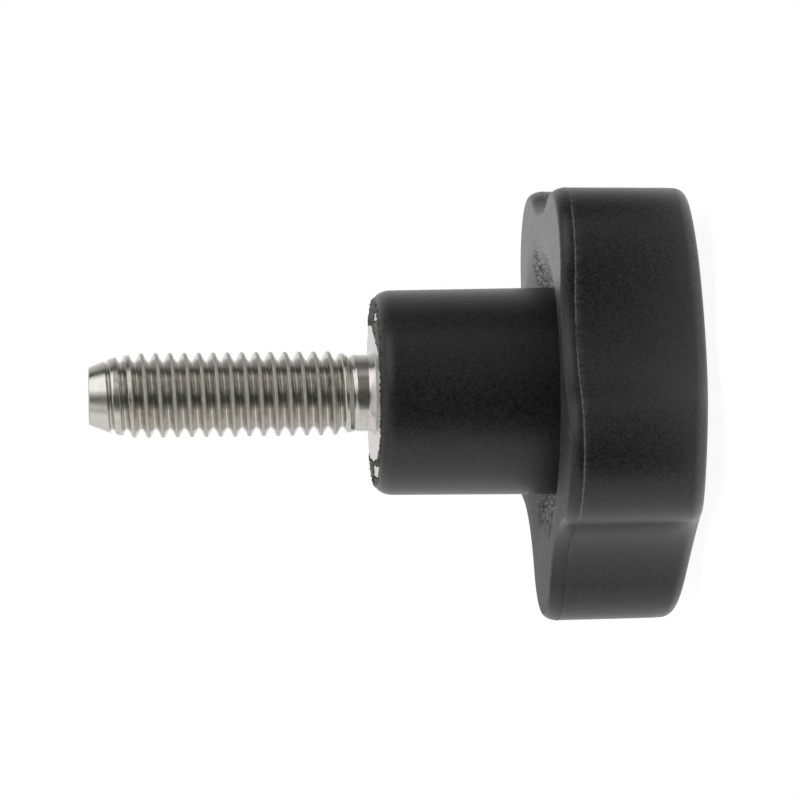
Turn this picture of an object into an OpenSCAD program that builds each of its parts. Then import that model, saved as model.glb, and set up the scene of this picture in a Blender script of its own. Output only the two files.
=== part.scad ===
// Lobed clamping knob with a moulded-in threaded stud.
//
// The knob stands on its domed front with the stud pointing up.
// Origin: the middle of the flange's clamping face. The first lobe points along +X.
// All lengths are in millimetres, all angles in degrees.

/* [Head] */
// Number of lobes round the head
lobes = 5; // [4:1:7]
// Diameter of the circle that the lobe tips touch
head_d = 32.4; // [29:0.1:38]
// Height of the head, from its back rim to the middle of the domed front
head_h = 10.7; // [8:0.1:16]
// Radius of each lobe's tip, seen along the axis
lobe_r = 5.5; // [4.8:0.1:6]
// Radius of the finger hollows between the lobes
hollow_r = 9; // [8:0.1:14]
// Radius of the domed front
dome_r = 81; // [50:1:200]
// Rounding between the sides and the domed front
front_round_r = 1; // [0.5:0.1:2]
// Rounding between the sides and the back rim
back_round_r = 1.3; // [0.8:0.1:2]
// How far round that rounding goes before the back rim ends it
back_round_angle = 48; // [30:1:80]
// Draft of the head's sides, towards the domed front
head_draft = 0.5; // [0:0.1:2]

/* [Dished back] */
// Width of the flat rim between the dish and the hollows
rim_w = 1; // [0.3:0.1:2]
// Depth of the dish where it meets the hub
dish_depth = 0.7; // [0.2:0.1:1.5]

/* [Hub] */
// Diameter of the hub at its free end
hub_d = 14.3; // [13.8:0.1:17]
// Length of the hub, from its free end to the head's back rim
hub_h = 11.75; // [9:0.05:20]
// Draft of the hub, towards its free end
hub_draft = 0.5; // [0:0.1:2]
// Rounding of the hub's end edge, measured along the axis
hub_round_h = 1; // [0.3:0.1:2]
// Width of the ring that the hub's end leaves round the flange, its rounding included
hub_ring_w = 0.7; // [0.5:0.05:1.5]
// Width of the flat part of that ring
hub_land = 0.1; // [0.05:0.05:0.3]

/* [Threaded stud] */
// Nominal thread diameter
thread_d = 6; // [5:0.5:6]
// Thread pitch
thread_pitch = 1; // [0.75:0.05:1.2]
// How far the thread's crests stay under the nominal diameter
thread_allowance = 0.12; // [0:0.02:0.2]
// Length of the stud above the clamping face
stud_l = 20; // [10:1:40]
// How far the plain shank between thread and flange lies under the crests
shank_relief = 0.32; // [0.1:0.02:0.6]
// Length of the plain shank
shank_l = 1.1; // [0.8:0.1:3]
// How far outside the crests the flange's flat face starts, past the fillet at the shank's root
face_clearance = 0.04; // [0.02:0.02:0.2]
// Diameter of the stud's flat tip
tip_d = 4; // [3:0.1:4.4]
// Diameter of the tip's cone where the thread starts
tip_cone_d = 5.1; // [4.9:0.02:5.3]
// Length of the tip's cone
tip_l = 1.5; // [0.8:0.1:2.5]
// Length over which the thread's crests rise to their full height
lead_l = 1.9; // [0.5:0.1:3]

/* [Flange and anchor] */
// Thickness of the flange
flange_t = 1.6; // [1:0.1:3]
// Diameter of the groove that keeps the stud from pulling out
neck_d = 7.4; // [6:0.1:8]
// Length of that groove
neck_l = 2; // [1:0.1:4]
// Diameter over the teeth of the knurled end
knurl_d = 9.8; // [9:0.1:11]
// Length of the knurled end
knurl_l = 6; // [3:0.1:9]
// Number of teeth in the knurl
knurl_teeth = 24; // [12:1:36]
// Depth of the knurl's grooves
knurl_depth = 0.4; // [0.2:0.05:0.6]
// Bevel at the buried end
anchor_bevel = 0.8; // [0.3:0.1:1.5]

/* [Hidden] */

$fn = 96;
// A cut is this much longer than what it cuts through
over = 0.5;

// Heights, from the clamping face at z = 0 downwards
z_rim = -hub_h;
z_parting = z_rim - back_round_r * sin(back_round_angle);
z_front = z_rim - head_h;
z_dome_centre = z_front + dome_r;

// The hub starts this far below the back rim, inside the head
hub_sink = dish_depth + 1;

// The flange fills the hub's end inside that ring
flange_d = hub_d - 2 * hub_ring_w;

// Thread of 60 degrees: flats on its crests and in its roots, and flanks between them
flank = tan(30);
crest_r = (thread_d - thread_allowance) / 2;
root_r = thread_d / 2 - 0.6134 * thread_pitch;
crest_w = thread_pitch / 8 + thread_allowance * flank;
root_w = thread_pitch - crest_w - 2 * (crest_r - root_r) * flank;

// Crests stand one pitch apart, from the shank up to the tip's cone
first_crest = shank_l + 0.62 * thread_pitch;
tip_z = stud_l - tip_l;
crests = floor((tip_z - crest_w / 2 - first_crest) / thread_pitch) + 1;

// Plan of the head: the lobe tips and the hollows are arcs that meet smoothly
half_pitch = 180 / lobes;
lobe_at = head_d / 2 - lobe_r;
hollow_at = lobe_at * cos(half_pitch)
    + sqrt(pow(lobe_r + hollow_r, 2) - pow(lobe_at * sin(half_pitch), 2));
tip_sweep = atan2(hollow_at * sin(half_pitch), hollow_at * cos(half_pitch) - lobe_at);
hollow_sweep = tip_sweep - half_pitch;

// The dish keeps clear of the rim at the hollows' floors
rim_inset = back_round_r * (1 - cos(back_round_angle));
dish_r = hollow_at - hollow_r - rim_inset - rim_w;

// Facets of half a lobe tip, of half a hollow, of the two roundings and of the dome
tip_steps = 8;
hollow_steps = 4;
back_steps = 6;
front_steps = 4;
dome_rings = 4;

function polar(r, a) = [r * cos(a), r * sin(a)];

// Directions that the outline's normal takes along one lobe's tip, and along one hollow
function tip_normals() = [for (i = [-tip_steps : tip_steps]) i / tip_steps * tip_sweep];
function hollow_normals() =
    [for (i = [1 - hollow_steps : hollow_steps - 1]) half_pitch - i / hollow_steps * hollow_sweep];

// The outline as pairs of a point and the direction that it faces
function outline() = [
    for (k = [0 : lobes - 1])
        let (turn = 2 * half_pitch * k)
        each concat(
            [for (a = tip_normals())
                [polar(lobe_at, turn) + polar(lobe_r, turn + a), turn + a]],
            [for (a = hollow_normals())
                [polar(hollow_at, turn + half_pitch) - polar(hollow_r, turn + a), turn + a]]
        )
];

// One ring of the head: the outline moved inwards, at one height
function level_ring(inset, z) =
    [for (p = outline()) let (q = p[0] - polar(inset, p[1])) [q.x, q.y, z]];

// Height of the domed front at a distance from the axis, for a dome of radius r
function dome_z(r, distance) = z_dome_centre - sqrt(r * r - distance * distance);

// The ball that rounds the front edge touches the side and the dome. Its arc between them
// runs from the side's direction to the dome's, and t goes from 0 to 1 along it.
function front_ball(p) =
    let (
        inset = front_round_r + (z_parting - z_front) * tan(head_draft),
        q = p[0] - polar(inset, p[1])
    )
    [q.x, q.y, dome_z(dome_r - front_round_r, norm(q))];
function front_point(p, t) =
    let (
        ball = front_ball(p),
        side = [cos(p[1]), sin(p[1]), 0],
        out = ball - [0, 0, z_dome_centre],
        down = out / norm(out),
        sweep = acos(side * down)
    )
    ball + front_round_r * (sin((1 - t) * sweep) * side + sin(t * sweep) * down) / sin(sweep);
function front_ring(t) = [for (p = outline()) front_point(p, t)];

// One ring of the dome: the end of the front rounding drawn in towards the axis
function dome_ring(share) =
    [for (p = front_ring(1)) let (q = share * [p.x, p.y]) [q.x, q.y, dome_z(dome_r, norm(q))]];

// All rings of the head, from the back down over the sides to the dome. The back rounding is a
// full quarter here, and the back rim is cut across it later.
function head_rings() = concat(
    [for (i = [back_steps : -1 : 0])
        let (a = 90 * i / back_steps)
        level_ring(back_round_r * (1 - cos(a)), z_parting + back_round_r * sin(a))],
    [for (i = [0 : front_steps]) front_ring(i / front_steps)],
    [for (i = [dome_rings - 1 : -1 : 1]) dome_ring(i / dome_rings)]
);

// A closed skin over rings of equal count, flat at the top and pointed at the bottom
module skin(rings, bottom) {
    count = len(rings[0]);
    last = len(rings) - 1;
    points = concat([for (ring = rings) each ring], [bottom]);
    top_face = [[for (i = [count - 1 : -1 : 0]) i]];
    sides = [
        for (k = [0 : last - 1], i = [0 : count - 1])
            let (j = (i + 1) % count, above = k * count, below = (k + 1) * count)
            each [
                [above + i, above + j, below + i],
                [above + j, below + j, below + i]
            ]
    ];
    bottom_faces = [
        for (i = [0 : count - 1])
            [last * count + i, last * count + (i + 1) % count, len(points) - 1]
    ];
    polyhedron(points, concat(top_face, sides, bottom_faces));
}

// Round hub, narrower towards its free end, with a rounded edge round the flange
module hub() {
    round_w = hub_ring_w - hub_land;
    foot_z = z_rim - hub_sink;
    foot_r = hub_d / 2 - foot_z * tan(hub_draft);
    shoulder_r = hub_d / 2 + hub_round_h * tan(hub_draft);
    corner = [for (a = [0 : 15 : 90])
        [shoulder_r - round_w * (1 - cos(a)), hub_round_h * (sin(a) - 1)]];
    rotate_extrude()
        polygon(concat([[0, foot_z], [foot_r, foot_z]], corner, [[0, 0]]));
}

// What is cut off the head's back: all above the flat rim, and a shallow cone for the dish
module back_cut() {
    slope = dish_depth / (dish_r - hub_d / 2);
    rotate_extrude()
        polygon([
            [0, z_rim - slope * dish_r],
            [dish_r, z_rim],
            [head_d / 2 + over, z_rim],
            [head_d / 2 + over, z_parting + back_round_r + over],
            [0, z_parting + back_round_r + over]
        ]);
}

// Straight knurl: a round bar with grooves along it. Each tooth keeps a narrow flat top.
module knurl_section() {
    tooth = 360 / knurl_teeth;
    half_flat = 0.15 * tooth;
    polygon([
        for (i = [0 : knurl_teeth - 1])
            let (a = i * tooth)
            each [
                polar(knurl_d / 2, a - half_flat),
                polar(knurl_d / 2, a + half_flat),
                polar(knurl_d / 2 - knurl_depth, a + tooth / 2)
            ]
    ]);
}

// The buried part of the stud. The grip is moulded on it, so it also makes the grip's cavity.
module anchor() {
    knurl_z = -flange_t - neck_l - knurl_l;
    bevel_r = knurl_d / 2 - anchor_bevel;
    translate([0, 0, -flange_t])
        cylinder(h = flange_t, d = flange_d);
    translate([0, 0, -flange_t - neck_l])
        cylinder(h = neck_l, d = neck_d);
    translate([0, 0, knurl_z])
        intersection() {
            linear_extrude(height = knurl_l)
                knurl_section();
            cylinder(h = knurl_l, r1 = bevel_r, r2 = bevel_r + knurl_l);
        }
}

// The lobed head and its hub, one moulding round the stud's anchor
module grip() {
    color("#26272a")
        difference() {
            union() {
                difference() {
                    skin(head_rings(), [0, 0, z_front]);
                    back_cut();
                }
                hub();
            }
            anchor();
        }
}

// Radius of a crest at a height: the last ones are lower, down to the tip's cone
function crest_radius(z) =
    min(crest_r, tip_cone_d / 2 + (crest_r - tip_cone_d / 2) * (tip_z - z) / lead_l);

// Outline of the thread, drawn as rings with the thread's own pitch, depth and flanks
function thread_outline() = [
    for (k = [0 : crests - 1])
        let (z = first_crest + k * thread_pitch, r = crest_radius(z), groove_z = z + thread_pitch / 2)
        each [
            [r, z - crest_w / 2],
            [r, z + crest_w / 2],
            [root_r, groove_z - root_w / 2],
            [root_r, groove_z + root_w / 2]
        ]
];

// The turned stud: anchor, flange, plain shank with its fillet, rolled thread and bevelled tip
module threaded_stud() {
    shank_r = crest_r - shank_relief;
    fillet_r = shank_relief + face_clearance;
    fillet = [for (a = [0 : 15 : 90])
        [shank_r + fillet_r * (1 - sin(a)), fillet_r * (1 - cos(a))]];
    tip = [[tip_cone_d / 2, tip_z], [tip_d / 2, stud_l], [0, stud_l]];
    color("#c9c8c4") {
        anchor();
        rotate_extrude()
            polygon(concat([[0, 0]], fillet, [[shank_r, shank_l]], thread_outline(), tip));
    }
}

grip();
threaded_stud();
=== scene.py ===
import math

import bpy
import numpy as np
from mathutils import Matrix, Vector


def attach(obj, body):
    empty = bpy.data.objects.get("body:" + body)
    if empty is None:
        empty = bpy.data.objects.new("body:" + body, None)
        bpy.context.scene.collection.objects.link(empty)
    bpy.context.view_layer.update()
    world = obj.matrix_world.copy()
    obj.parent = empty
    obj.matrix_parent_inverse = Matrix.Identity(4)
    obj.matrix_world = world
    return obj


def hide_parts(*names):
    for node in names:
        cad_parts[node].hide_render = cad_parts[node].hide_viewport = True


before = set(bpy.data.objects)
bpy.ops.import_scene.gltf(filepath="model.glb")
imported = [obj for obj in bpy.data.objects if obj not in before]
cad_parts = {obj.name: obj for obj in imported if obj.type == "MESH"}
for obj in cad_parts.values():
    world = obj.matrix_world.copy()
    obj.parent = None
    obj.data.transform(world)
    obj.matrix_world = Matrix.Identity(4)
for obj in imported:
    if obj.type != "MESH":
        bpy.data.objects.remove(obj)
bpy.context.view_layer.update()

# Looks of a lobed clamping knob: a black moulded grip on a bright threaded stud.
# Lengths are in millimetres, and MM turns them into metres where Blender takes them. The origin
# is the middle of the flange's clamping face, and the stud points along +Z.
MM = 0.001

# Head of the grip
LOBES = 5
HALF_PITCH = math.pi / LOBES
HEAD_R = 16.2
HEAD_H = 10.7
LOBE_R = 5.5
HOLLOW_R = 9.0
DOME_R = 81.0
FRONT_ROUND = 1.0
BACK_ROUND = 1.3
BACK_ANGLE = math.radians(48)
# Angle of the back rounding where it takes over from the seam's ridge
BACK_FROM = 0.06
DRAFT = math.tan(math.radians(0.5))
RIM_W = 1.0
RIM_ROUND = 0.45
# Rings of the flat rim, as shares of the way from its edge to the dish
RIM_SHARES = (0.03, 0.15, 0.3, 0.45, 0.6, 0.75, 0.9, 1.0)
DISH_DEPTH = 1.2
DISH_CURVE = 1.8

# Seam where the mould halves met. The skin lies SKIN_GAP inside the CAD solid, so that the seam's
# ridge stands within its box. The ridge begins at SEAM_FOOT from the parting line, and its
# profile is heights from that line, each with the share of the ridge that stands there.
SKIN_GAP = 0.035
SEAM_RISE = 0.02
SEAM_RAGGED = 0.015
SEAM_LEAST = 0.002
SEAM_MOST = SKIN_GAP - 0.005
SEAM_FOOT = -0.06
SEAM_PROFILE = ((-0.02, 0.7), (0.0, 1.0), (0.03, 0.6))

# Hub, and the ring of it that is left round the flange
HUB_R = 7.15
HUB_H = 11.75
HUB_ROUND_H = 1.25
HUB_ROUND_W = 0.85
HUB_RING_W = 0.06
HUB_FOOT_BEVEL = 0.04
# Height over the dish where the rings of the hub's side begin
HUB_FOOT_H = 0.5

# Flange and anchor of the stud, which fill the grip's cavity
FLANGE_R = 6.45
FLANGE_T = 1.6
# The flange's rounded edge: how far in from its radius, and the height there
FLANGE_EDGE = ((0, -0.4), (0, -0.06), (0.02, -0.02), (0.06, 0.0), (0.12, 0.0))
# Rings of its face
FACE_RADII = (6.0, 5.2, 4.4, 3.7)
NECK_R = 3.7
NECK_L = 2.0
KNURL_R = 4.9
KNURL_L = 6.0
KNURL_TEETH = 24
KNURL_DEPTH = 0.4
# How far a tooth's flat reaches to each side of its middle, as a share of the teeth's spacing
KNURL_FLAT = 0.15
ANCHOR_BEVEL = 0.8

# Stud. Its crests stay CREST_CUT under the thread's nominal radius, and the flanks cross the
# pitch line at PITCH_LINE of a pitch under it. CREST_AT is the height of one of the crests on the
# photographer's side.
PITCH = 1.0
CREST_R = 2.94
CREST_CUT = 0.06
PITCH_LINE = 0.325
FLANK_ANGLE = math.radians(30)
CREST_SOFT = 0.025
CREST_AT = 16.717
ROOT_ROUND = 0.11
SHANK_R = 2.69
SHANK_L = 1.1
FOOT_W = 0.27
FOOT_L = 0.5
FOOT_CURVE = 1.15
FOOT_SHARES = (0.0, 0.08, 0.3, 0.6, 0.85, 0.95)
# From the foot to the next ring, on the flange's face and up the shank
FOOT_GAP = 0.05
# The run-out of crests and of roots: where each begins and ends, from the shank's end
CREST_RUN_OUT = (-0.1, 2.2)
ROOT_RUN_OUT = (-0.15, 1.35)
TIP_R = 2.0
TIP_CONE_R = 2.55
TIP_L = 1.4
TIP_Z = 19.88
# The tip's rounded edge and flat end: how far in from its radius, and how far down
TIP_EDGE = ((0.01, 0.02), (0.05, 0.0), (0.12, 0.0), (1.0, 0.0))
# Behind the tip's cone the crests begin at LEAD_R, and rise by LEAD_SLOPE away from the tip
LEAD_R = 2.62
LEAD_SLOPE = 0.17
# The thread's lattice ends this far under the tip
TIP_GAP = 0.06

Z_RIM = -HUB_H
Z_PARTING = Z_RIM - BACK_ROUND * math.sin(BACK_ANGLE)
Z_FRONT = Z_RIM - HEAD_H
Z_DOME_CENTRE = Z_FRONT + DOME_R
Z_DISH = Z_RIM - DISH_DEPTH
Z_KNURL = -FLANGE_T - NECK_L
Z_ANCHOR = Z_KNURL - KNURL_L
LOBE_AT = HEAD_R - LOBE_R
HOLLOW_AT = LOBE_AT * math.cos(HALF_PITCH) + math.sqrt(
    (LOBE_R + HOLLOW_R) ** 2 - (LOBE_AT * math.sin(HALF_PITCH)) ** 2
)
TIP_SWEEP = math.atan2(
    HOLLOW_AT * math.sin(HALF_PITCH), HOLLOW_AT * math.cos(HALF_PITCH) - LOBE_AT
)
HOLLOW_SWEEP = TIP_SWEEP - HALF_PITCH
DISH_R = HOLLOW_AT - HOLLOW_R - BACK_ROUND * (1 - math.cos(BACK_ANGLE)) - RIM_W
HUB_FOOT_R = HUB_R + (HUB_H + DISH_DEPTH) * DRAFT

# Floor: plain for indirect light, and faint with a glow for camera and glossy rays
FLOOR_R = 30.0
FLOOR_CORNERS = 96
FLOOR_PLAIN = (0.8, 0.8, 0.8, 1)
FLOOR_FAINT = (0.25, 0.25, 0.25, 1)
FLOOR_GLOW = 0.93
WHITE = (1, 1, 1, 1)

# Where the photographer stands: a direction seen along the stud's axis, with the stud to the left
VIEW_ANGLE = math.radians(92.168)
VIEW_DISTANCE = 241.796
VIEW_SIDE = -0.5212
VIEW_HEIGHT = 18.4585
VIEW_YAW = math.radians(4.8)
VIEW_ROLL = 0.0119843
VIEW_LENS = 155.88
VIEW_SENSOR = 36
# Nearest distance that is seen, in metres
VIEW_CLIP = 0.01
TO_CAMERA = Vector((math.cos(VIEW_ANGLE), math.sin(VIEW_ANGLE), 0))
IMAGE_UP = Vector((-math.sin(VIEW_ANGLE), math.cos(VIEW_ANGLE), 0))
STUD_WAY = Vector((0, 0, 1))


def set_camera():
    """A long lens at the stud's side, turned so that the stud points to the left."""
    forward = -math.sin(VIEW_YAW) * STUD_WAY - math.cos(VIEW_YAW) * TO_CAMERA
    level = -math.cos(VIEW_YAW) * STUD_WAY + math.sin(VIEW_YAW) * TO_CAMERA
    right = math.cos(VIEW_ROLL) * level - math.sin(VIEW_ROLL) * IMAGE_UP
    up = math.sin(VIEW_ROLL) * level + math.cos(VIEW_ROLL) * IMAGE_UP
    place = VIEW_DISTANCE * TO_CAMERA + VIEW_SIDE * IMAGE_UP + VIEW_HEIGHT * STUD_WAY
    data = bpy.data.cameras.new("camera")
    data.lens = VIEW_LENS
    data.sensor_width = VIEW_SENSOR
    data.clip_start = VIEW_CLIP
    camera = bpy.data.objects.new("camera", data)
    bpy.context.scene.collection.objects.link(camera)
    turn = Matrix((right, up, -forward)).transposed().to_4x4()
    camera.matrix_world = Matrix.Translation(place * MM) @ turn
    bpy.context.scene.camera = camera


# Shapes: shared steps


def smoothstep(low, high, x):
    """Rises smoothly from 0 at low to 1 at high."""
    t = np.clip((x - low) / (high - low), 0, 1)
    return t * t * (3 - 2 * t)


def wave_noise(angle, seed, lowest, highest, terms):
    """A ragged periodic curve over an angle, mostly within 1.5 of zero, from seeded sines."""
    draw = np.random.default_rng(seed)
    waves = draw.integers(lowest, highest, terms)
    phases = draw.uniform(0, 2 * math.pi, terms)
    total = sum(np.sin(w * angle + p) for w, p in zip(waves, phases))
    return total / math.sqrt(terms)


def polar(radius, angle):
    """Plane points at a radius and at each angle."""
    angle = np.asarray(angle, float)
    return np.stack([radius * np.cos(angle), radius * np.sin(angle)], -1)


def at_height(flat, z):
    """Plane points lifted to a height, which is one number or one per point."""
    return np.column_stack([flat, np.broadcast_to(z, len(flat))])


def lofted(rings, first, last):
    """Points and triangles of a skin over rings of equal count, closed by a point at each end."""
    rings = np.asarray(rings, float)
    rows, count = rings.shape[:2]
    points = np.vstack([rings.reshape(-1, 3), [first], [last]])
    here = np.arange(count)
    after = (here + 1) % count
    row = np.arange(rows - 1)[:, None] * count
    lower = np.stack([row + here, row + after, row + count + after], -1)
    upper = np.stack([row + here, row + count + after, row + count + here], -1)
    end = (rows - 1) * count
    tip = rows * count
    start_fan = np.stack([np.full(count, tip), after, here], -1)
    end_fan = np.stack([end + here, end + after, np.full(count, tip + 1)], -1)
    faces = np.vstack([start_fan, lower.reshape(-1, 3), upper.reshape(-1, 3), end_fan])
    return points, faces


def joined(*parts):
    """Several shells as the points and triangles of one mesh."""
    points, faces, count = [], [], 0
    for shell_points, shell_faces in parts:
        points.append(shell_points)
        faces.append(shell_faces + count)
        count += len(shell_points)
    return np.vstack(points), np.vstack(faces)


def piece(name, points, faces, material, node):
    """A smooth mesh piece that stands for a CAD node and rides with the part."""
    mesh = bpy.data.meshes.new(name)
    mesh.from_pydata((points * MM).tolist(), [], faces.tolist())
    mesh.polygons.foreach_set("use_smooth", np.ones(len(mesh.polygons), bool))
    mesh.materials.append(material)
    mesh.update()
    obj = bpy.data.objects.new(name, mesh)
    bpy.context.scene.collection.objects.link(obj)
    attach(obj, "root")
    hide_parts(node)


def knurl_radius(angle):
    """Radius of the knurled end: grooves between narrow flat teeth."""
    tooth = 2 * math.pi / KNURL_TEETH
    off = np.abs((angle / tooth + 0.5) % 1 - 0.5)
    return KNURL_R - KNURL_DEPTH * np.clip((off - KNURL_FLAT) / (0.5 - KNURL_FLAT), 0, 1)


# Shapes: grip


def head_outline(tip_steps=38, hollow_steps=26):
    """Points of the lobed outline, and the directions that it faces."""
    tip = np.arange(-tip_steps, tip_steps + 1) / tip_steps * TIP_SWEEP
    hollow = HALF_PITCH - np.arange(1 - hollow_steps, hollow_steps) / hollow_steps * HOLLOW_SWEEP
    places, ways = [], []
    for lobe in range(LOBES):
        turn = 2 * HALF_PITCH * lobe
        places.append(polar(LOBE_AT, turn) + polar(LOBE_R, turn + tip))
        ways.append(polar(1, turn + tip))
        places.append(polar(HOLLOW_AT, turn + HALF_PITCH) - polar(HOLLOW_R, turn + hollow))
        ways.append(polar(1, turn + hollow))
    return np.vstack(places), np.vstack(ways)


def front_rings(places, ways, dome_steps=14, round_steps=9):
    """Rings of the dome and the rounded front edge, and the heights where the sides begin."""
    inset = FRONT_ROUND + (Z_PARTING - Z_FRONT) * DRAFT
    centres = places - inset * ways
    span = np.linalg.norm(centres, axis=1)
    ball_z = Z_DOME_CENTRE - np.sqrt((DOME_R - FRONT_ROUND) ** 2 - span**2)
    balls = at_height(centres, ball_z)
    side = at_height(ways, 0)
    down = balls - [0, 0, Z_DOME_CENTRE]
    down /= np.linalg.norm(down, axis=1)[:, None]
    sweep = np.arccos((side * down).sum(1))[:, None]

    def rounding(t):
        turned = np.sin((1 - t) * sweep) * side + np.sin(t * sweep) * down
        return balls + FRONT_ROUND * turned / np.sin(sweep)

    rings = []
    edge = rounding(1.0)[:, :2]
    for share in np.linspace(0, 1, dome_steps + 1)[1:-1]:
        flat = share * edge
        rings.append(at_height(flat, Z_DOME_CENTRE - np.sqrt(DOME_R**2 - (flat**2).sum(1))))
    for t in np.linspace(1, 0, round_steps + 1):
        rings.append(rounding(t))
    return rings, balls[:, 2]


def side_rings(places, ways, angle, z_from, steps=15):
    """Rings of the drafted sides, and of the seam's fine ragged ridge above them."""
    rings = []
    for t in np.linspace(0, 1, steps + 1)[1:]:
        z = z_from + t * (Z_PARTING + SEAM_FOOT - z_from)
        flat = places - ((Z_PARTING - z) * DRAFT)[:, None] * ways
        rings.append(at_height(flat, z))
    seam = SEAM_RISE + SEAM_RAGGED * wave_noise(angle, seed=3, lowest=20, highest=240, terms=40)
    seam = np.clip(seam, SEAM_LEAST, SEAM_MOST)
    for dz, rise in SEAM_PROFILE:
        rings.append(at_height(places + (rise * seam)[:, None] * ways, Z_PARTING + dz))
    return rings


def back_rings(places, ways, around, dish_steps=16):
    """Rings of the back rounding, the flat rim and the dish down to the hub."""
    rings = []
    sine = (BACK_ROUND * math.sin(BACK_ANGLE) - RIM_ROUND) / (BACK_ROUND - RIM_ROUND)
    rim_angle = math.asin(sine)
    for a in np.linspace(BACK_FROM, rim_angle, 12):
        moved = BACK_ROUND * (1 - math.cos(a))
        rings.append(at_height(places - moved * ways, Z_PARTING + BACK_ROUND * math.sin(a)))
    rim_in = BACK_ROUND - (BACK_ROUND - RIM_ROUND) * math.cos(rim_angle)
    for a in np.linspace(rim_angle, math.pi / 2, 8)[1:]:
        moved = rim_in - RIM_ROUND * math.cos(a)
        z = Z_RIM - RIM_ROUND + RIM_ROUND * math.sin(a)
        rings.append(at_height(places - moved * ways, z))
    rim_edge = places - rim_in * ways
    dish_edge = DISH_R * around
    for t in RIM_SHARES:
        rings.append(at_height(rim_edge + t * (dish_edge - rim_edge), Z_RIM))
    for t in np.linspace(0, 1, dish_steps + 1)[1:-1]:
        r = DISH_R + t * (HUB_FOOT_R + HUB_FOOT_BEVEL - DISH_R)
        rings.append(at_height(r * around, Z_RIM - DISH_DEPTH * t**DISH_CURVE))
    return rings


def hub_rings(around, side_count=22, round_steps=12):
    """Rings of the hub, from its foot in the dish to its rounded end."""
    rings = [
        at_height((HUB_FOOT_R + HUB_FOOT_BEVEL) * around, Z_DISH),
        at_height(HUB_FOOT_R * around, Z_DISH + HUB_FOOT_BEVEL),
    ]
    for z in np.linspace(Z_DISH + HUB_FOOT_H, -HUB_ROUND_H, side_count):
        rings.append(at_height((HUB_R - z * DRAFT) * around, z))
    shoulder = HUB_R + HUB_ROUND_H * DRAFT
    ring_r = FLANGE_R + HUB_RING_W
    end_angle = math.acos(1 - (shoulder - ring_r) / HUB_ROUND_W)
    for a in np.linspace(0, end_angle, round_steps + 1)[1:]:
        r = shoulder - HUB_ROUND_W * (1 - math.cos(a))
        rings.append(at_height(r * around, HUB_ROUND_H * (math.sin(a) - 1)))
    return rings


def cavity_rings(angle, around):
    """Rings of the cavity that holds the stud's flange, neck and knurled end."""
    rings = []
    for r, z in ((FLANGE_R, 0.0), (FLANGE_R, -FLANGE_T), (NECK_R, -FLANGE_T), (NECK_R, Z_KNURL)):
        rings.append(at_height(r * around, z))
    for z in (Z_KNURL, Z_ANCHOR + ANCHOR_BEVEL):
        rings.append(at_height(knurl_radius(angle)[:, None] * around, z))
    rings.append(at_height((KNURL_R - ANCHOR_BEVEL) * around, Z_ANCHOR))
    return rings


def grip_skin():
    """Points and triangles of the grip, from its dome round to the bottom of its cavity."""
    places, ways = head_outline()
    places = places - SKIN_GAP * ways
    angle = np.arctan2(places[:, 1], places[:, 0])
    around = polar(1, angle)
    rings, z_from = front_rings(places, ways)
    rings += side_rings(places, ways, angle, z_from)
    rings += back_rings(places, ways, around)
    rings += hub_rings(around)
    rings += cavity_rings(angle, around)
    return lofted(rings, (0, 0, Z_FRONT), (0, 0, Z_ANCHOR))


# Shapes: flash, the thin skin of plastic that the moulding left over the flange

# Its inner edge: degrees from the image's up direction towards the camera, and the radius there
FLASH_EDGE = (
    (-180, 4.9), (-160, 5.1), (-147, 5.6), (-138, 6.3), (-128, 6.7), (-46, 6.7), (-36, 6.0),
    (-20, 5.2), (-8, 4.75), (7, 4.3), (33, 4.4), (47, 4.8), (61, 5.6), (70, 6.15), (80, 6.42),
    (118, 6.42), (126, 6.3), (135, 5.9), (148, 5.4), (168, 4.95), (180, 4.9),
)
FLASH_RAGGED = 0.07
# Crumbs that stand up on it: place in the image's up direction and towards the camera, size,
# height
FLASH_CRUMBS = ((6.45, 0.2, 0.22, 0.1), (6.1, -0.5, 0.2, 0.06), (-6.1, 0.2, 0.2, 0.1))
# Places where it broke away, as corners in the image's up direction and towards the camera
FLASH_HOLES = (
    ((5.95, 2.6), (4.85, 0.6), (4.95, 4.3)),
    ((-5.0, -0.6), (-5.0, 4.6), (-5.95, 3.4), (-5.95, -0.2)),
)
# Its grid reaches from FLASH_FROM_R out past the flange and into the hub's rounding, where it dips
FLASH_FROM_R = 4.0
FLASH_REACH = 0.2
FLASH_DIP_W = 0.19
FLASH_TOP_DIP = 0.15
FLASH_LOW_DIP = 0.2
FLASH_T = 0.015
FLASH_LUMPS = 0.04
FLASH_SUNK = 0.01
# Random spread of the holes' edges, of the grid's radii, and of its angles as a share of half a
# step
HOLE_SPREAD_UP = 0.06
HOLE_SPREAD_NEAR = 0.15
GRID_SPREAD = 0.03
GRID_SHAKE = 0.15
# Range of the random share of a crumb's height
CRUMB_RANGE = (0.5, 1.3)
# Keeps a level side of a polygon from dividing by zero
TINY = 1e-12


def inside(corners, x, y):
    """Whether points lie inside a polygon."""
    hit = np.zeros(np.shape(x), bool)
    for (x0, y0), (x1, y1) in zip(corners, corners[1:] + corners[:1]):
        crosses = (y0 > y) != (y1 > y)
        hit ^= crosses & (x < (x1 - x0) * (y - y0) / (y1 - y0 + TINY) + x0)
    return hit


def close_diagonals(filled):
    """Fills the cells that would leave two others touching by a corner only."""
    after = np.roll(filled, -1, 0)
    a, b = filled[:, :-1], filled[:, 1:]
    c, d = after[:, :-1], after[:, 1:]
    bad = (a & d & ~b & ~c) | (b & c & ~a & ~d)
    filled[:, :-1] |= bad
    filled[:, 1:] |= bad


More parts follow.
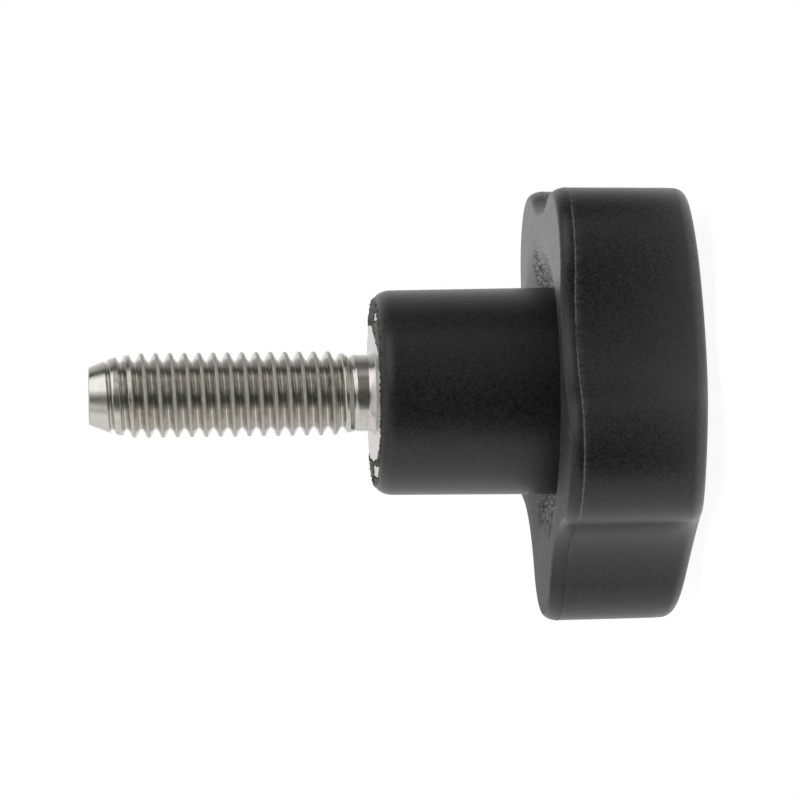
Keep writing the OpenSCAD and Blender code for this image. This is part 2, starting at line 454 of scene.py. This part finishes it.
def flash_cells(draw, turn, radius, passes=4):
    """Which cells of a ring-shaped grid are covered, from the places of their middles."""
    degrees = (np.degrees(turn) + 180) % 360 - 180
    edge = np.interp(degrees, *zip(*FLASH_EDGE))
    edge = edge + FLASH_RAGGED * wave_noise(turn, seed=11, lowest=15, highest=140, terms=40)
    across, along = np.meshgrid(radius, turn)
    filled = across > edge[:, None]
    up, near = across * np.cos(along), across * np.sin(along)
    up = up + HOLE_SPREAD_UP * draw.standard_normal(up.shape)
    near = near + HOLE_SPREAD_NEAR * draw.standard_normal(up.shape)
    for corners in FLASH_HOLES:
        filled &= ~inside(corners, up, near)
    for _ in range(passes):
        close_diagonals(filled)
    return filled


def shell_of_cells(filled, points, columns):
    """Top, bottom and side faces of the filled cells of a ring-shaped grid."""
    steps, rows = filled.shape
    half = len(points) // 2
    faces = []
    for i, k in zip(*np.nonzero(filled)):
        j = (i + 1) % steps
        a, b, c, d = i * columns + k, i * columns + k + 1, j * columns + k + 1, j * columns + k
        faces += [(a, d, c), (a, c, b)]
        faces += [(a + half, c + half, d + half), (a + half, b + half, c + half)]
        walls = (
            (filled[i - 1, k], a, b),
            (k + 1 < rows and filled[i, min(k + 1, rows - 1)], b, c),
            (filled[j, k], c, d),
            (k > 0 and filled[i, max(k - 1, 0)], d, a),
        )
        for neighbour, p, q in walls:
            if not neighbour:
                faces += [(p, q, q + half), (p, q + half, p + half)]
    used, faces = np.unique(np.array(faces), return_inverse=True)
    return points[used], faces.reshape(-1, 3)


def flash(steps=300, rows=20):
    """Points and triangles of the flash, closed."""
    draw = np.random.default_rng(5)
    turn = np.arange(steps) * 2 * math.pi / steps
    radius = np.linspace(FLASH_FROM_R, FLANGE_R + FLASH_REACH, rows + 1)
    filled = flash_cells(draw, turn + math.pi / steps, (radius[1:] + radius[:-1]) / 2)
    far, wide = np.meshgrid(radius, turn)
    far = far + GRID_SPREAD * draw.standard_normal(far.shape)
    far[:, -1] = radius[-1]
    shake = GRID_SHAKE * math.pi / steps * draw.standard_normal(far.shape)
    wide = VIEW_ANGLE + math.pi / 2 - wide + shake
    flat = polar(1, wide.ravel()) * far.ravel()[:, None]
    thick = FLASH_T + FLASH_LUMPS * np.abs(draw.standard_normal(len(flat)))
    for up_at, near_at, size, height in FLASH_CRUMBS:
        middle = up_at * IMAGE_UP + near_at * TO_CAMERA
        off = np.hypot(flat[:, 0] - middle.x, flat[:, 1] - middle.y)
        crumb = height * np.exp(-((off / size) ** 2))
        thick += crumb * draw.uniform(*CRUMB_RANGE, len(flat))
    dip = smoothstep(FLANGE_R, FLANGE_R + FLASH_DIP_W, far.ravel())
    top = thick - FLASH_TOP_DIP * dip
    low = -FLASH_SUNK - FLASH_LOW_DIP * dip
    points = np.vstack([at_height(flat, top), at_height(flat, low)])
    return shell_of_cells(filled, points, rows + 1)


# Shapes: stud


def thread_profile(turn):
    """Radius of the thread over one pitch. At turn 0 it has its crest."""
    slope = math.tan(FLANK_ANGLE)
    pitch_r = CREST_R + CREST_CUT - PITCH_LINE * PITCH
    away = np.abs((turn + 0.5) % 1 - 0.5) * PITCH
    flank = pitch_r + (PITCH / 4 - away) / slope
    root_round = ROOT_ROUND * PITCH
    root_centre = pitch_r - PITCH / 4 / slope + 2 * root_round
    across = PITCH / 2 - away
    root = root_centre - np.sqrt(np.clip(root_round**2 - across**2, 0, None))
    in_root = across < root_round * math.cos(FLANK_ANGLE)
    radius = np.where(in_root, root, flank)
    return -CREST_SOFT * np.logaddexp(-radius / CREST_SOFT, -CREST_R / CREST_SOFT)


def tip_cap(z):
    """Largest radius near the tip: the cone, and the crests rising behind it."""
    cone = TIP_R + (TIP_Z - z) / TIP_L * (TIP_CONE_R - TIP_R)
    lead = LEAD_R + LEAD_SLOPE * (TIP_Z - TIP_L - z)
    return np.minimum(cone, lead)


def anchor_rings(angle, around):
    """Rings of the knurled end and the neck, up to the underside of the flange."""
    rings = [at_height((KNURL_R - ANCHOR_BEVEL) * around, Z_ANCHOR)]
    for z in (Z_ANCHOR + ANCHOR_BEVEL, Z_KNURL):
        rings.append(at_height(knurl_radius(angle)[:, None] * around, z))
    for r, z in ((NECK_R, Z_KNURL), (NECK_R, -FLANGE_T), (FLANGE_R, -FLANGE_T)):
        rings.append(at_height(r * around, z))
    return rings


def flange_rings(around):
    """Rings of the flange's edge and face, and of the flared foot of the shank."""
    rings = []
    for inset, z in FLANGE_EDGE:
        rings.append(at_height((FLANGE_R - inset) * around, z))
    for r in FACE_RADII:
        rings.append(at_height(r * around, 0.0))
    rings.append(at_height((SHANK_R + FOOT_W + FOOT_GAP) * around, 0.0))
    for share in FOOT_SHARES:
        flare = FOOT_W * (1 - share) ** FOOT_CURVE
        rings.append(at_height((SHANK_R + flare) * around, FOOT_L * share))
    return rings


def thread_rings(angle, around):
    """Rings of shank, thread and tip: one fine lattice, with its diagonals along the helix."""
    crest_z = CREST_AT - (VIEW_ANGLE - math.pi / 2) / (2 * math.pi) * PITCH
    z_from = FOOT_L + FOOT_GAP
    step = PITCH / len(angle)
    steps = int(round((TIP_Z - TIP_GAP - z_from) / step))
    rings = []
    for k in range(steps + 1):
        z = z_from + k * step
        thread = thread_profile((z - crest_z) / PITCH - angle / (2 * math.pi))
        crest_grown = smoothstep(SHANK_L + CREST_RUN_OUT[0], SHANK_L + CREST_RUN_OUT[1], z)
        root_grown = smoothstep(SHANK_L + ROOT_RUN_OUT[0], SHANK_L + ROOT_RUN_OUT[1], z)
        grown = np.where(thread > SHANK_R, crest_grown, root_grown)
        radius = np.minimum(SHANK_R + (thread - SHANK_R) * grown, tip_cap(z))
        rings.append(at_height(radius[:, None] * around, z))
    return rings


def stud_skin(count=56):
    """Points and triangles of the stud, from its knurled end up to its tip."""
    angle = np.arange(count) * 2 * math.pi / count
    around = polar(1, angle)
    rings = anchor_rings(angle, around) + flange_rings(around) + thread_rings(angle, around)
    for inset, drop in TIP_EDGE:
        rings.append(at_height((TIP_R - inset) * around, TIP_Z - drop))
    return lofted(rings, (0, 0, Z_ANCHOR), (0, 0, TIP_Z))


# Materials: shared steps


def put(tree, kind, inputs=None, **settings):
    """Adds a node. Its inputs are set from values, or linked from sockets."""
    node = tree.nodes.new(kind)
    for name, value in settings.items():
        setattr(node, name, value)
    for name, value in (inputs or {}).items():
        if isinstance(value, bpy.types.NodeSocket):
            tree.links.new(value, node.inputs[name])
        else:
            node.inputs[name].default_value = value
    return node


def new_material(name):
    """A material with an empty node tree."""
    material = bpy.data.materials.new(name)
    material.use_nodes = True
    tree = material.node_tree
    tree.nodes.clear()
    return material, tree


def finished(tree, shader):
    """Joins a shader to the material's surface."""
    out = put(tree, "ShaderNodeOutputMaterial")
    tree.links.new(shader.outputs[0], out.inputs["Surface"])


def noise(tree, where, size, detail=2.0, roughness=0.5, stretch=(1.0, 1.0, 1.0)):
    """Noise with features of about this size in millimetres, from 0 to 1."""
    scale = tuple(1.0 / MM / s for s in stretch)
    placed = put(tree, "ShaderNodeMapping", {"Vector": where, "Scale": scale})
    shape = {"Scale": 1.0 / size, "Detail": detail, "Roughness": roughness}
    made = put(tree, "ShaderNodeTexNoise", {"Vector": placed.outputs[0], **shape})
    return made.outputs["Fac"]


def ranged(tree, value, from_low, from_high, to_low, to_high):
    """A value carried from one range to another, and kept within it."""
    limits = {"From Min": from_low, "From Max": from_high, "To Min": to_low, "To Max": to_high}
    return put(tree, "ShaderNodeMapRange", {"Value": value, **limits}).outputs[0]


def blended(tree, factor, low, high):
    """A colour between two others."""
    made = put(tree, "ShaderNodeMix", {"Factor": factor}, data_type="RGBA")
    for name, value in (("A", low), ("B", high)):
        socket = [s for s in made.inputs if s.name == name and s.type == "RGBA"][0]
        if isinstance(value, bpy.types.NodeSocket):
            tree.links.new(value, socket)
        else:
            socket.default_value = value
    return [s for s in made.outputs if s.type == "RGBA"][0]


def reckoned(tree, operation, *values):
    """Result of a Math node."""
    return put(tree, "ShaderNodeMath", dict(enumerate(values)), operation=operation).outputs[0]


def times(tree, value, factor):
    """Product of a value and a factor."""
    return reckoned(tree, "MULTIPLY", value, factor)


def added(tree, value, *extras):
    """Sum of a value and all the extras."""
    for extra in extras:
        value = reckoned(tree, "ADD", value, extra)
    return value


def greatest(tree, values):
    """The greatest of several values."""
    result = values[0]
    for value in values[1:]:
        result = reckoned(tree, "MAXIMUM", result, value)
    return result


def dotted(tree, way, axis):
    """Share of a direction along an axis."""
    made = put(tree, "ShaderNodeVectorMath", {0: way, 1: tuple(axis)}, operation="DOT_PRODUCT")
    return made.outputs["Value"]


def distance(tree, where, middle):
    """Distance in metres from a place that is given in millimetres."""
    inputs = {0: where, 1: tuple(middle * MM)}
    return put(tree, "ShaderNodeVectorMath", inputs, operation="DISTANCE").outputs["Value"]


def bumped(tree, height, depth, normal=None):
    """Bump of a given depth in millimetres."""
    inputs = {"Height": height, "Strength": 1.0, "Distance": depth * MM}
    if normal is not None:
        inputs["Normal"] = normal
    return put(tree, "ShaderNodeBump", inputs).outputs[0]


# Materials: plastic

BLACK = (0.001, 0.001, 0.001, 1)
FLOW_DARK = (0.01, 0.01, 0.0098, 1)
FLOW_PALE = (0.031, 0.0308, 0.0302, 1)
GRAIN_PALE = (0.017, 0.017, 0.0167, 1)
DUST_PALE = (0.1, 0.1, 0.098, 1)
CHALK_PALE = (0.09, 0.09, 0.088, 1)
# Pale of the front edge: partly wear, partly a painted highlight
RUBBED_AND_HIGHLIGHT_PALE = (0.13, 0.13, 0.127, 1)
# Pale of the seam: a painted highlight along its ridge
SEAM_PAINTED_LIGHT = (0.18, 0.18, 0.176, 1)
# Middle of each scored patch of the back face: image's up direction and towards the camera
SCORED_PLACES = (
    (7.9, -2.6), (7.5, 0.6), (7.3, 3.6), (-7.5, -2.4), (-7.8, 0.8), (-8.2, 3.4),
)


def moulded_black(tree, where, mottle, grain, patches):
    """Black with pale flow marks, mottle and grain, and dust that lies in patches."""
    flow = noise(tree, where, 2.2, 3.0, 0.55)
    pale = blended(tree, flow, FLOW_DARK, FLOW_PALE)
    black = blended(tree, ranged(tree, mottle, 0.38, 0.68, 0.0, 1.0), BLACK, pale)
    black = blended(tree, ranged(tree, grain, 0.4, 0.65, 0.0, 0.5), black, GRAIN_PALE)
    dust = ranged(tree, noise(tree, where, 0.12, 2.0, 0.6), 0.64, 0.72, 0.0, 0.9)
    dust = times(tree, dust, ranged(tree, patches, 0.4, 0.65, 0.3, 1.0))
    return blended(tree, dust, black, DUST_PALE)


def rubbed_edge_and_highlight(tree, where, mottle):
    """Share of wear and of a painted highlight on the front edge, where the rounding meets the
    dome.
    """
    deep = distance(tree, where, Z_DOME_CENTRE * STUD_WAY)
    wear_and_highlight = ranged(tree, deep, (DOME_R - 0.75) * MM, (DOME_R - 0.35) * MM, 0.0, 0.75)
    wear_and_highlight = times(tree, wear_and_highlight, ranged(tree, deep, (DOME_R - 0.05) * MM, DOME_R * MM, 1.0, 0.0))
    return times(tree, wear_and_highlight, ranged(tree, mottle, 0.35, 0.6, 0.4, 1.0))


def seam_line_and_painted_light(tree, where, height, mottle, patches):
    """Share of a hair-fine line where the mould halves met, broken in places. Its colour carries
    painted light and shade.
    """
    wander = ranged(tree, noise(tree, where, 0.25, 2.0), 0.0, 1.0, -0.07 * MM, 0.07 * MM)
    off = reckoned(tree, "ABSOLUTE", added(tree, height, -Z_PARTING * MM, wander))
    line = ranged(tree, off, 0.03 * MM, 0.06 * MM, 1.0, 0.0)
    line = times(tree, line, ranged(tree, patches, 0.37, 0.47, 0.0, 1.0))
    return times(tree, line, ranged(tree, mottle, 0.35, 0.6, 0.3, 1.0))


def back_face(tree, height, normal):
    """1 on the rim and the dish, and 0 elsewhere."""
    low = ranged(tree, height, (Z_RIM - 1.3) * MM, (Z_RIM - 1.25) * MM, 0.0, 1.0)
    high = ranged(tree, height, (Z_RIM + 0.1) * MM, (Z_RIM + 0.2) * MM, 1.0, 0.0)
    facing = ranged(tree, dotted(tree, normal, STUD_WAY), 0.85, 0.97, 0.0, 1.0)
    return times(tree, times(tree, low, high), facing)


def scoring(tree, where, back):
    """Share of the dark strokes that score patches of the back face."""
    strokes = noise(tree, where, 0.4, 4.0, 0.65, (1.0, 4.0, 1.0))
    strokes = reckoned(tree, "ABSOLUTE", added(tree, strokes, -0.5))
    strokes = ranged(tree, strokes, 0.015, 0.04, 1.0, 0.0)
    marks = []
    for up_at, near_at in SCORED_PLACES:
        middle = up_at * IMAGE_UP + near_at * TO_CAMERA + Z_RIM * STUD_WAY
        marks.append(ranged(tree, distance(tree, where, middle), 1.0 * MM, 2.3 * MM, 1.0, 0.0))
    return times(tree, times(tree, strokes, greatest(tree, marks)), back)


def plastic():
    """Matt black moulding with grain, dust, a worn front edge with a painted highlight, a seam
    painted with light and shade, and a scored back.
    """
    material, tree = new_material("moulded_plastic")
    places = put(tree, "ShaderNodeTexCoord")
    where = places.outputs["Object"]
    height = put(tree, "ShaderNodeSeparateXYZ", {0: where}).outputs["Z"]
    upward = dotted(tree, where, IMAGE_UP)
    mottle = noise(tree, where, 0.26, 4.0, 0.7)
    grain = noise(tree, where, 0.13, 2.0, 0.6)
    patches = noise(tree, where, 6.0, 2.0, 0.5)
    line = seam_line_and_painted_light(tree, where, height, mottle, patches)
    back = back_face(tree, height, places.outputs["Normal"])
    scores = scoring(tree, where, back)

    # The seam is painted pale on the upper lobes, as painted light on its ridge, and dark on the
    # lowest lobe, as painted shade. The back face has pale chalky grain.
    above = ranged(tree, upward, -9.2 * MM, -8.6 * MM, 0.0, 1.0)
    chalk = times(tree, back, ranged(tree, grain, 0.45, 0.7, 0.0, 1.0))
    chalk = times(tree, chalk, ranged(tree, patches, 0.4, 0.6, 0.3, 1.0))
    colour = moulded_black(tree, where, mottle, grain, patches)
    # Pale band on the front edge: partly wear, partly a painted highlight where the edge catches
    # light
    colour = blended(tree, rubbed_edge_and_highlight(tree, where, mottle), colour, RUBBED_AND_HIGHLIGHT_PALE)
    # The seam is painted pale above the lowest lobe as painted light, and black on that lobe as
    # painted shade
    colour = blended(tree, line, colour, blended(tree, above, BLACK, SEAM_PAINTED_LIGHT))
    colour = blended(tree, chalk, colour, CHALK_PALE)
    colour = blended(tree, scores, colour, BLACK)

    # The back face is duller towards its lower side, and the flash is duller all over
    rough = ranged(tree, mottle, 0.25, 0.75, 0.29, 0.43)
    dull = times(tree, back, ranged(tree, upward, -8 * MM, 8 * MM, 0.22, 0.0))
    film = ranged(tree, height, -0.06 * MM, -0.02 * MM, 0.0, 0.12)
    uneven = times(tree, back, ranged(tree, grain, 0.35, 0.65, 0.05, -0.06))
    rough = added(tree, rough, dull, film, uneven)
    rough = added(tree, rough, times(tree, scores, 0.6), times(tree, line, 0.3))

    normal = bumped(tree, mottle, 0.012)
    normal = bumped(tree, grain, 0.006, normal)
    normal = bumped(tree, times(tree, scores, -1.0), 0.15, normal)
    look = {"Base Color": colour, "Roughness": rough, "Normal": normal, "IOR": 1.5}
    finished(tree, put(tree, "ShaderNodeBsdfPrincipled", look))
    return material


# Materials: steel

STEEL_DARK = (0.51, 0.49, 0.445, 1)
STEEL_PALE = (0.6, 0.585, 0.545, 1)


def steel():
    """Bright stainless steel: turned rings, fine pits, worn crests and a duller faced flange."""
    material, tree = new_material("bright_steel")
    where = put(tree, "ShaderNodeTexCoord").outputs["Object"]
    height = put(tree, "ShaderNodeSeparateXYZ", {0: where}).outputs["Z"]
    rings = noise(tree, where, 0.12, 3.0, 0.6, (6.0, 6.0, 1.0))
    stains = noise(tree, where, 0.5, 3.0, 0.6)
    pits = noise(tree, where, 0.07, 2.0, 0.6)
    colour = blended(tree, ranged(tree, stains, 0.3, 0.7, 0.0, 1.0), STEEL_DARK, STEEL_PALE)

    flat = put(tree, "ShaderNodeVectorMath", {0: where, 1: (1, 1, 0)}, operation="MULTIPLY")
    radius = put(tree, "ShaderNodeVectorMath", {0: flat.outputs[0]}, operation="LENGTH")
    crest = ranged(tree, radius.outputs["Value"], 2.85 * MM, 2.92 * MM, 0.0, 1.0)
    crest = times(tree, crest, ranged(tree, height, 0.9 * MM, 1.2 * MM, 0.0, 1.0))
    faced = ranged(tree, height, 0.02 * MM, 0.1 * MM, 0.13, 0.0)
    rough = ranged(tree, stains, 0.25, 0.75, 0.11, 0.23)
    rough = added(tree, rough, times(tree, crest, 0.22), faced)

    normal = bumped(tree, rings, 0.004)
    normal = bumped(tree, pits, 0.003, normal)
    normal = bumped(tree, times(tree, crest, pits), 0.05, normal)
    look = {"Base Color": colour, "Roughness": rough, "Normal": normal, "Metallic": 1.0}
    finished(tree, put(tree, "ShaderNodeBsdfPrincipled", look))
    return material


# Studio


def add_floor():
    """A plain white floor under the dome. It shows white where it is lit, and keeps a shadow."""
    material, tree = new_material("floor")
    path = put(tree, "ShaderNodeLightPath").outputs
    rays = ("Is Camera Ray", "Is Glossy Ray", "Is Transmission Ray")
    seen = greatest(tree, [path[name] for name in rays])
    plain = put(tree, "ShaderNodeBsdfDiffuse", {"Color": FLOOR_PLAIN})
    faint = put(tree, "ShaderNodeBsdfDiffuse", {"Color": FLOOR_FAINT})
    glow = put(tree, "ShaderNodeEmission", {"Color": WHITE, "Strength": FLOOR_GLOW})
    white = put(tree, "ShaderNodeAddShader", {0: faint.outputs[0], 1: glow.outputs[0]})
    choice = {0: seen, 1: plain.outputs[0], 2: white.outputs[0]}
    finished(tree, put(tree, "ShaderNodeMixShader", choice))
    turn = np.arange(FLOOR_CORNERS) * 2 * math.pi / FLOOR_CORNERS
    rim = at_height(polar(FLOOR_R, turn), Z_FRONT) * MM
    mesh = bpy.data.meshes.new("floor")
    mesh.from_pydata(rim.tolist(), [], [tuple(range(len(rim)))])
    mesh.materials.append(material)
    floor = bpy.data.objects.new("floor", mesh)
    bpy.context.scene.collection.objects.link(floor)


# Light of the room round the stud's axis: degrees from the camera towards the image's up
# direction, and the level there. The first belongs to the knob's own level, the second to about
# 35 degrees to each side of it along the axis. Further along, the room is evenly pale.
ROOM_LOW = (
    (-180, 1.0), (-145, 0.9), (-130, 0.5), (-60, 0.42), (-48, 0.36), (-38, 0.16), (-28, 0.1),
    (5, 0.12), (20, 0.25), (48, 0.27), (58, 0.6), (66, 0.5), (80, 0.2), (100, 0.15), (112, 0.4),
    (130, 0.65), (155, 1.0), (180, 1.0),
)
ROOM_MID = (
    (-180, 1.0), (-145, 0.9), (-130, 0.55), (-65, 0.6), (-55, 0.72), (-45, 0.85), (-36, 0.6),
    (-28, 0.25), (-18, 0.12), (-8, 0.1), (0, 0.3), (8, 0.8), (15, 1.0), (70, 1.0), (82, 0.4),
    (90, 0.12), (104, 0.15), (115, 0.5), (140, 0.9), (180, 1.0),
)
ROOM_ENDS = (0.9, 0.9, 0.9, 1)
# Shares of a direction along the axis between which one level goes over into the next
LOW_TO_MID = (0.25, 0.5)
MID_TO_ENDS = (0.65, 0.85)


def stepped(tree, turn, stops):
    """Grey level along a full turn, from stops in degrees."""
    node = put(tree, "ShaderNodeValToRGB", {"Fac": turn})
    ramp = node.color_ramp
    while len(ramp.elements) < len(stops):
        ramp.elements.new(0.5)
    for element, (degrees, level) in zip(ramp.elements, stops):
        element.position = degrees / 360 + 0.5
        element.color = (level, level, level, 1)
    return node.outputs["Color"]


def set_world():
    """White behind the knob, and darker on the side where the photographer stands."""
    world = bpy.data.worlds.new("studio")
    bpy.context.scene.world = world
    world.use_nodes = True
    tree = world.node_tree
    tree.nodes.clear()
    way = put(tree, "ShaderNodeTexCoord").outputs["Generated"]
    turn = reckoned(tree, "ARCTAN2", dotted(tree, way, IMAGE_UP), dotted(tree, way, TO_CAMERA))
    turn = ranged(tree, turn, -math.pi, math.pi, 0.0, 1.0)
    height = put(tree, "ShaderNodeSeparateXYZ", {0: way}).outputs["Z"]
    height = reckoned(tree, "ABSOLUTE", height)
    mid = ranged(tree, height, *LOW_TO_MID, 0.0, 1.0)
    ends = ranged(tree, height, *MID_TO_ENDS, 0.0, 1.0)
    level = blended(tree, mid, stepped(tree, turn, ROOM_LOW), stepped(tree, turn, ROOM_MID))
    level = blended(tree, ends, level, ROOM_ENDS)
    seen = put(tree, "ShaderNodeLightPath").outputs["Is Camera Ray"]
    white = put(tree, "ShaderNodeBackground", {"Color": WHITE, "Strength": 1.0})
    room = put(tree, "ShaderNodeBackground", {"Color": level, "Strength": 1.0})
    choice = {0: seen, 1: room.outputs[0], 2: white.outputs[0]}
    mixed = put(tree, "ShaderNodeMixShader", choice)
    out = put(tree, "ShaderNodeOutputWorld")
    tree.links.new(mixed.outputs[0], out.inputs["Surface"])


def softbox(name, way, distance_m, size_m, radiance):
    """A soft light in a direction, given by shares of camera side, image up and stud way."""
    towards = (way[0] * TO_CAMERA + way[1] * IMAGE_UP + way[2] * STUD_WAY).normalized()
    data = bpy.data.lights.new(name, "AREA")
    data.shape = "RECTANGLE"
    data.size = size_m[0]
    data.size_y = size_m[1]
    data.energy = radiance * math.pi * size_m[0] * size_m[1]
    light = bpy.data.objects.new(name, data)
    light.location = towards * distance_m
    light.rotation_mode = "QUATERNION"
    light.rotation_quaternion = towards.to_track_quat("Z", "Y")
    light.visible_camera = False
    bpy.context.scene.collection.objects.link(light)


def add_lights():
    """A wide light under the knob, and a smaller one above it towards camera and stud."""
    softbox("low_light", (-0.05, -1, 0.1), 0.6, (1.1, 0.8), 0.5)
    softbox("high_light", (0.46, 0.65, 0.6), 0.6, (0.6, 0.35), 0.6)


def main():
    """Makes the camera, the two pieces and the studio."""
    set_camera()
    black = plastic()
    bright = steel()
    points, faces = joined(grip_skin(), flash())
    piece("moulded_grip", points, faces, black, "grip")
    points, faces = stud_skin()
    piece("rolled_stud", points, faces, bright, "threaded_stud")
    add_floor()
    set_world()
    add_lights()
    bpy.context.scene.view_settings.view_transform = "Standard"


main()
